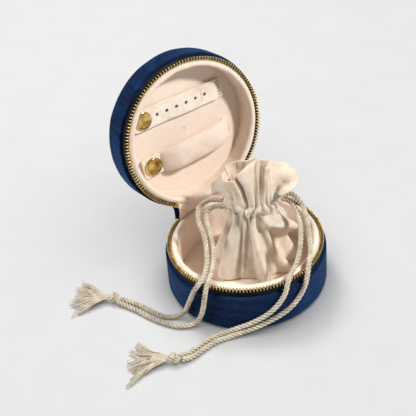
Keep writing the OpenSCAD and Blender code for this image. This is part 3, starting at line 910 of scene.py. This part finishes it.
def strap_stitches():
    """A run of stitches round the strap's edge, and loops across its sewn end in brown thread, which is
    painted shade round those stitches.
    """
    half = STRAP_HALF - 0.9
    edge = at_height(rounded_box(-21, 15, -half, half, 0.5), STRAP_FACE + 0.08)
    stitch_run("strap_edge_stitches", edge, strap_place, "earring_flap", thread, 1.4, 0.8, 0.11)
    # the brown of these loops is painted shade round the stitches at the sewn end
    loops = 6
    for k in range(loops):
        loop = oval(STRAP_RIGHT - 3.2, (k - (loops - 1) / 2) * 2.1, 1.7, 0.95, 14)
        name = "strap_end_stitches_%d" % (k + 1)
        stitch_run(name, at_height(loop, STRAP_FACE - 0.9), strap_place, "lid", painted_shade_thread, 1.0, 0.25, 0.17)


def ring_roll():
    """A stuffed roll, pinched flat towards the snap tab on the left and the sewn end on the right."""
    lengths = np.linspace(ROLL_FROM - 1.5, ROLL_TO + 2.2, 110)
    around = np.linspace(0, 2 * math.pi, 72, endpoint=False)
    rows = []
    for x in lengths:
        left = np.clip((x - lengths[0]) / 13, 0, 1)
        right = np.clip((lengths[-1] - x) / 15, 0, 1)
        swell = (math.sin(left * math.pi / 2) * math.sin(right * math.pi / 2)) ** 0.8
        height = 1.2 + (ROLL_H - 3.2) * swell
        width = STRAP_W * 0.98 + (ROLL_W - STRAP_W) * swell
        power = 0.80
        y = width / 2 * np.sign(np.cos(around)) * np.abs(np.cos(around)) ** power
        h = height / 2 * np.sign(np.sin(around)) * np.abs(np.sin(around)) ** power
        middle = 0.25 + height / 2 + 0.9 * (1 - swell)
        pinch = (1 - swell) * (0.35 * np.sin(around * 9 + 1) + 0.25 * np.sin(around * 5))
        y, h = y * (1 + 0.05 * pinch), h + 0.4 * pinch * swell
        rows.append(np.stack([x + 0 * y, y, middle + h], 1))
    points = np.array(rows)
    points[..., 2] += 0.35 * soft_noise(points, 7, 3) + 0.12 * soft_noise(points, 2.8, 5)
    points[..., 1] += 0.25 * soft_noise(points, 8, 9)
    points[..., 2] = np.maximum(points[..., 2], 0.15)
    roll = grid("ring_roll_cloth", roll_place(points), suede, wrap_cols=True, ends=(0, -1))
    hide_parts("ring_roll_cover", "ring_roll_core")
    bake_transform(roll)


def roll_ends():
    """The roll's flat snap tab on the left, its sewn end on the right, and their stitches."""
    outline = rounded_box(STRAP_LEFT, ROLL_FROM + 1.5, -STRAP_HALF, STRAP_HALF, 1.2)
    tab = slab("ring_roll_tab_cloth", outline, STRAP_GAP, STRAP_FACE, strap_cloth, roll_place, 5.0)
    place(tab, "ring_flap", ["ring_roll_tab"])
    half = STRAP_HALF - 0.9
    edge = at_height(rounded_box(STRAP_LEFT + 0.9, ROLL_FROM - 1, -half, half, 0.5), STRAP_FACE + 0.06)
    stitch_run("roll_tab_stitches", edge, roll_place, "ring_flap", thread, 1.3, 0.7, 0.11)
    half = STRAP_HALF + 0.4
    outline = rounded_box(ROLL_TO - 2.5, STRAP_RIGHT + 0.6, -half, half, 2.4)
    sewn = slab("ring_roll_sewn_end", outline, 0.05, 1.5, suede, roll_place, 7.0)
    place(sewn, "lid")
    # the outer ring in brown thread is painted shade round the whitish stitches inside it
    for number, finish, inset in ((1, painted_shade_thread, 0.0), (2, thread, 0.45)):
        line = at_height(oval(ROLL_TO + 0.6, 0, 2.2 - inset, 5.6 - inset, 40), 1.75)
        stitch_run("roll_end_stitches_%d" % number, line, roll_place, "lid", finish, 1.0, 0.45, 0.16)


# ---- pouch

def pouch_place(points):
    """Points measured from the pouch's middle, where it stands in the base."""
    points = np.asarray(points, float)
    x, y = turned(points[..., 0], points[..., 1], POUCH_TURN)
    return np.stack([POUCH_AT[0] + x, POUCH_AT[1] + y, points[..., 2]], -1)


def bell(a, at, width):
    """A rounded ridge across the angle a, 1 at its top and 0 beyond its width."""
    return 0.5 + 0.5 * np.cos(math.pi * np.clip(apart(a, at) / width, -1, 1))


def neck_radius(a):
    """The drawn-in neck is an oval, wider across than deep."""
    return 1 / np.sqrt((np.cos(a) / 17.2) ** 2 + (np.sin(a) / 11.8) ** 2)


def pleats(a, count=19, seed=1.0):
    """Uneven tight gathers round the neck: broad ridges and sharp valleys, from -1 to 1."""
    warped = a * count + 1.9 * np.sin(2 * a + seed) + 1.3 * np.sin(5 * a + 2 * seed)
    return 2 * np.abs(np.sin(warped / 2)) ** 0.7 * (0.8 + 0.2 * np.sin(3 * a + seed)) - 1.2


# fold: angle at neck, middle and foot, half width at neck and foot, height at neck, middle and foot
POUCH_FOLDS = [(264, 271, 282, 9, 13, 3.4, 10.0, 10.0), (221, 216, 214, 18, 25, 3.0, 9.0, 9.5),
               (246, 243, 240, 6, 7, 2.8, 2.2, 1.0), (192, 180, 170, 13, 17, 2.4, 6.5, 7.0),
               (296, 308, 322, 9, 17, 2.6, 2.2, 7.0), (338, 350, 357, 13, 16, 2.4, 4.5, 7.5),
               (16, 24, 34, 14, 18, 2.4, 5.5, 7.0), (50, 58, 66, 15, 17, 2.6, 6.0, 7.0),
               (88, 92, 98, 15, 17, 2.6, 6.0, 7.0), (126, 124, 122, 15, 16, 2.6, 6.0, 7.0),
               (158, 150, 146, 13, 15, 2.4, 6.0, 7.0)]

# the frill's edge: angle round the neck that each point hangs from, then its place in mm
FRILL_EDGE = [(176, -23, 4, 58), (186, -24, 2, 65), (198, -23, 0, 70), (208, -20, -1, 73), (214, -15, 0, 77),
              (220, -17, -4, 79), (228, -16, -9, 77), (237, -11, -10, 77), (243, -9, -5, 76),
              (250, -6, 3, 68), (257, -8, 0, 73), (264, -9, -9, 80), (271, -5, -7, 82),
              (277, -1, -3, 83), (283, 4, 0, 84),
              (287, 6, -4, 84), (291, 3, 6, 74), (297, 5, 4, 78), (305, 8, -3, 81), (313, 11, -5, 79),
              (319, 10, 6, 73), (329, 13, 9, 76), (338, 17, 8, 74), (346, 22, 9, 73), (354, 27, 5, 71),
              (2, 29, -2, 70), (8, 27, -8, 68), (14, 21, -13, 67), (21, 17, -10, 63), (28, 15, -3, 62),
              (36, 19, 7, 70), (48, 12, 8, 73), (60, 14, 13, 72), (76, 8, 10, 76), (92, 4, 14, 75),
              (108, -2, 9, 77), (124, -7, 12, 76), (138, -14, 9, 74), (150, -12, 4, 69), (163, -19, 7, 67)]


def gathered(a, k, pleated=1.0):
    """The casing at height k, from 0 to 1; pleated says how much of its gathers to keep."""
    puffed = 1.2 * np.sin(math.pi * k) ** 0.6 - 0.6
    seams = -0.6 * (np.exp(-((k - 0.14) / 0.07) ** 2) + np.exp(-((k - 0.86) / 0.07) ** 2))
    r = neck_radius(a) + puffed + seams + 1.5 * pleated * pleats(a + 0.16 * np.sin(2.6 * k + 3 * a))
    z = NECK_Z + NECK_H * k + 1.3 * np.sin(2 * a + 1) + 1.0 * np.sin(5 * a + 2)
    z = z + 0.6 * pleated * pleats(a, 23, 2.0)
    return np.stack([r * np.cos(a), r * np.sin(a), z], -1)


def between(t, foot, middle, neck):
    """A value that runs from foot through middle to neck as t goes from 0 to 1."""
    return np.interp(t, [0, 0.5, 1], [foot, middle, neck])


def body_point(a, t):
    """The pouch between floor and casing: long folds from the neck, and a lobe thrown out on the right."""
    top = gathered(a, 0)
    z = FLOOR_Z + 0.7 + (top[:, 2] - FLOOR_Z - 0.7) * t
    mean = np.interp(t, [0, 0.04, 0.12, 0.3, 0.5, 0.7, 0.87, 1],
                     [19.0, 20.0, 19.6, 17.4, 14.4, 12.2, 10.8, 10.6])
    near = np.clip((t - 0.6) / 0.4, 0, 1) ** 1.6
    r = mean * (1 - near) + np.linalg.norm(top[:, :2], axis=1) * near
    for neck_at, mid_at, foot_at, w_neck, w_foot, h_neck, h_mid, h_foot in POUCH_FOLDS:
        at = between(t, foot_at, mid_at, neck_at) + 2.0 * math.sin(5 * t + foot_at)
        ridge = bell(a, at, w_foot + (w_neck - w_foot) * t)
        r = r + between(t, h_foot, h_mid, h_neck) * min(1, 0.85 + t * 3) * (1 - 0.75 * near) * ridge ** 0.75
    off = apart(a, 338)
    level = np.interp(off, [-55, 10, 60], [50, 34, 38])
    reach = np.interp(off, [-60, -46, -20, 8, 34, 60], [0, 4.0, 8.5, 11.0, 7.0, 0])
    drop = (z - level) / np.where(z > level, 7.0, 4.5)
    r = r + reach * np.exp(-drop ** 2) * min(1, (1 - t) * 6)
    along = np.stack([22 * np.cos(a), 22 * np.sin(a), 0 * a + 9 * t], -1)
    r = r + 0.6 * soft_noise(along, 4.5, 3) + 0.3 * soft_noise(along, 2.0, 5)
    return np.stack([r * np.cos(a), r * np.sin(a), z], -1)


def closed_curve(points, count):
    """A smooth closed curve through rows of numbers, with count rows."""
    p = np.asarray(points, float)
    u = np.linspace(0, len(p), count, endpoint=False)
    i = u.astype(int)
    t = (u - i)[:, None]
    a, b, c, d = (p[(i + k) % len(p)] for k in (-1, 0, 1, 2))
    return spline(a, b, c, d, t)


def pouch_piece(points, name, node_name, ends=()):
    """One of the pouch's three cloths, half a millimetre thick."""
    made = grid(name, pouch_place(points), cotton, wrap_cols=True, ends=ends)
    place(made, "pouch", [node_name])
    modify(made, "SUBSURF", levels=1)
    modify(made, "SOLIDIFY", thickness=0.5 * MM, offset=0)
    press(made)
    return made


def press(made):
    """Gives the piece a mesh of its own."""
    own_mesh(made)


def pouch_body():
    a = all_round(200)
    flat = [body_point(a, 0) * (k, k, 1) for k in (0.1, 0.35, 0.6, 0.8, 0.95)]
    rows = flat + [body_point(a, t) for t in np.linspace(0, 1, 42)]
    pouch_piece(rows, "pouch_body_cloth", "pouch_body", (0,))


def pouch_channel():
    a = all_round(240)
    rows = [gathered(a, k) for k in np.linspace(0, 1, 12)]
    inside = [rows[-1] * (k, k, 1) - (0, 0, 3.5 * (1 - k) ** 0.6) for k in (0.93, 0.8, 0.6, 0.35, 0.12)]
    pouch_piece(rows + inside, "pouch_channel_cloth", "pouch_channel", (-1,))
    for number, k in ((1, 0.14), (2, 0.86)):
        line = gathered(a, k) * (1.012, 1.012, 1)
        name = "casing_stitches_%d" % number
        stitches = stitch_run(name, line, pouch_place, "pouch", thread, 1.1, 0.8, 0.12)
        press(stitches)


def pouch_frill():
    """The loose edge above the casing: a sheet from the neck to its own listed edge."""
    start = FRILL_EDGE[0][0]
    count = 7 * len(FRILL_EDGE)
    # the spline closes on itself only once the steady turn is taken out of the angles
    level = [((at - start) % 360 + start - 360 * k / len(FRILL_EDGE), x, y, z)
             for k, (at, x, y, z) in enumerate(FRILL_EDGE)]
    curve = closed_curve(level, count)
    a = np.radians(curve[:, 0] + 360 * np.arange(count) / count)
    foot = gathered(a, 1, 0.25)
    tucks = gathered(a, 1) - foot
    edge = curve[:, 1:]
    middle = 0.85 * foot + 0.15 * edge
    middle[:, 2] = foot[:, 2] + 0.5 * (edge[:, 2] - foot[:, 2]) + 2.0
    middle[:, 1] += 5.0 * bell(a, 338, 24)
    rows = [(foot + tucks) * (k, k, 1) - (0, 0, 0.8) for k in (0.9, 0.96)]
    for t in np.linspace(0, 1, 22):
        row = (1 - t) ** 2 * foot + 2 * t * (1 - t) * middle + t ** 2 * edge + (1 - t) ** 3 * tucks
        rows.append(row + 0.6 * t * np.stack([soft_noise(row, 5, seed) for seed in (1, 2, 3)], -1))
    pouch_piece(rows, "pouch_frill_cloth", "pouch_frill")


# ---- the whole object

make_camera()
yarn = yarn_finish("cord_cotton", (0.80, 0.72, 0.58), (0.34, 0.27, 0.18))
cords = {name: make_cord(name, 0.7 * k) for k, name in enumerate(ROUTES)}
knots = {side: make_knot(side) for side in KNOTS}
tassels = {side: make_tassel(side, 5 + k) for k, side in enumerate(KNOTS)}

velvet = velvet_finish()
suede = suede_finish("cream_lining", (0.90, 0.775, 0.67), (0.80, 0.65, 0.54))
strap_cloth = suede_finish("strap_cloth", (0.92, 0.83, 0.74), (0.72, 0.57, 0.44), 1.4, 0.15)
# brown thread: painted shade round the stitches at the strap's and the roll's sewn ends
painted_shade_thread = yarn_finish("painted_shade_thread", (0.50, 0.34, 0.20), (0.30, 0.18, 0.09))
cotton = cotton_finish()
tape_cloth = tape_finish()
thread = yarn_finish("thread", (0.86, 0.77, 0.64), (0.62, 0.5, 0.38))
# dark brown: painted shade in the strap's punched holes
hole_shade_finish = plain_finish("hole_painted_shade", (0.20, 0.10, 0.04), (0.10, 0.05, 0.02), 900)
zip_brass = metal_finish("zip_brass", (0.92, 0.70, 0.32), (0.50, 0.34, 0.12), 0.2)
snap_brass = metal_finish("snap_brass", (0.92, 0.67, 0.24), (0.36, 0.22, 0.06), 0.12, 0.12)
board = plain_finish("card_board", (0.5, 0.43, 0.33), (0.34, 0.28, 0.2), 600)
foam = plain_finish("foam", (0.86, 0.84, 0.76), (0.7, 0.67, 0.58), 1500)

base_velvet()
lid_velvet()
base_lining()
lid_lining()
tape("base_zip_tape", BASE_ROW, 1, "base")
tape("lid_zip_tape", LID_ROW, -1, "lid")
teeth("base_zip_teeth", BASE_ROW, 1, "base")
teeth("lid_zip_teeth", LID_ROW, -1, "lid")
low, high = BASE_ROW - TAPE_BAND - 0.6, LID_ROW + TAPE_BAND + 0.6
gusset("gusset_velvet", OUT_R - 0.6, low, high, velvet, 0.7)
low, high = BASE_ROW - LEDGE_DROP - 0.6, LID_ROW + LEDGE_DROP + 0.6
gusset("gusset_lining", LINING_OUT - 1.2, low, high, suede, 0.5)
earring_strap()
strap_stitches()
ring_roll()
roll_ends()
for flap in ("earring", "ring"):
    dress(flap + "_snap_cap", snap_brass, 0.12)
    dress(flap + "_snap_stud", snap_brass, 0.1)
    dress(flap + "_snap_socket", snap_brass, 0.1)
for name in ("slider_body", "slider_bail", "pull_tab", "base_zip_stops", "lid_zip_stops"):
    dress(name, zip_brass, 0.14)
for name in ("base_floor_board", "base_wall_board", "lid_top_board", "lid_wall_board"):
    dress(name, board)
for name in ("base_floor_pad", "lid_panel_pad"):
    dress(name, foam)
pouch_body()
pouch_channel()
pouch_frill()

for name, (axis, level) in TUCKS.items():
    for piece in [knots[name], tassels[name]] if name in KNOTS else [cords[name][0]]:
        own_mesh(piece)


def make_stage():
    """A pale floor and four lights: two for the object alone, two for the floor alone."""
    half, down = 6, -0.0002
    corners = [(-half, -half, down), (half, -half, down), (half, half, down), (-half, half, down)]
    mesh = bpy.data.meshes.new("floor")
    mesh.from_pydata(corners, [], [(0, 1, 2, 3)])
    floor = new_object("floor", mesh)
    mesh.materials.append(plain_finish("pale_floor", (0.84, 0.84, 0.84), (0.81, 0.81, 0.815), 30))
    world = bpy.data.worlds.new("studio")
    world.use_nodes = True
    background = world.node_tree.nodes["Background"]
    background.inputs["Color"].default_value = (1, 1, 1, 1)
    background.inputs["Strength"].default_value = 0.2
    bpy.context.scene.world = world
    only_object = bpy.data.collections.new("all_but_floor")
    only_object.objects.link(floor)
    only_object.collection_objects[0].light_linking.link_state = "EXCLUDE"
    only_floor = bpy.data.collections.new("floor_alone")
    only_floor.objects.link(floor)
    area_light("key_light", (0.66, -0.80, 1.08), (0, 0.02, 0.05), 0.2, 21.5, only_object, (1, 0.985, 0.96))
    area_light("top_light", (0.05, 0.75, 1.2), (0, 0, 0), 0.5, 6, only_floor)
    area_light("wide_light", (0, -0.2, 1.6), (0, 0, 0), 2.6, 24, only_floor)
    area_light("rim_light", (-0.7, 0.3, 0.8), (0, 0, 0.06), 0.3, 8, only_object)
    bpy.context.scene.view_settings.view_transform = "Standard"


make_stage()
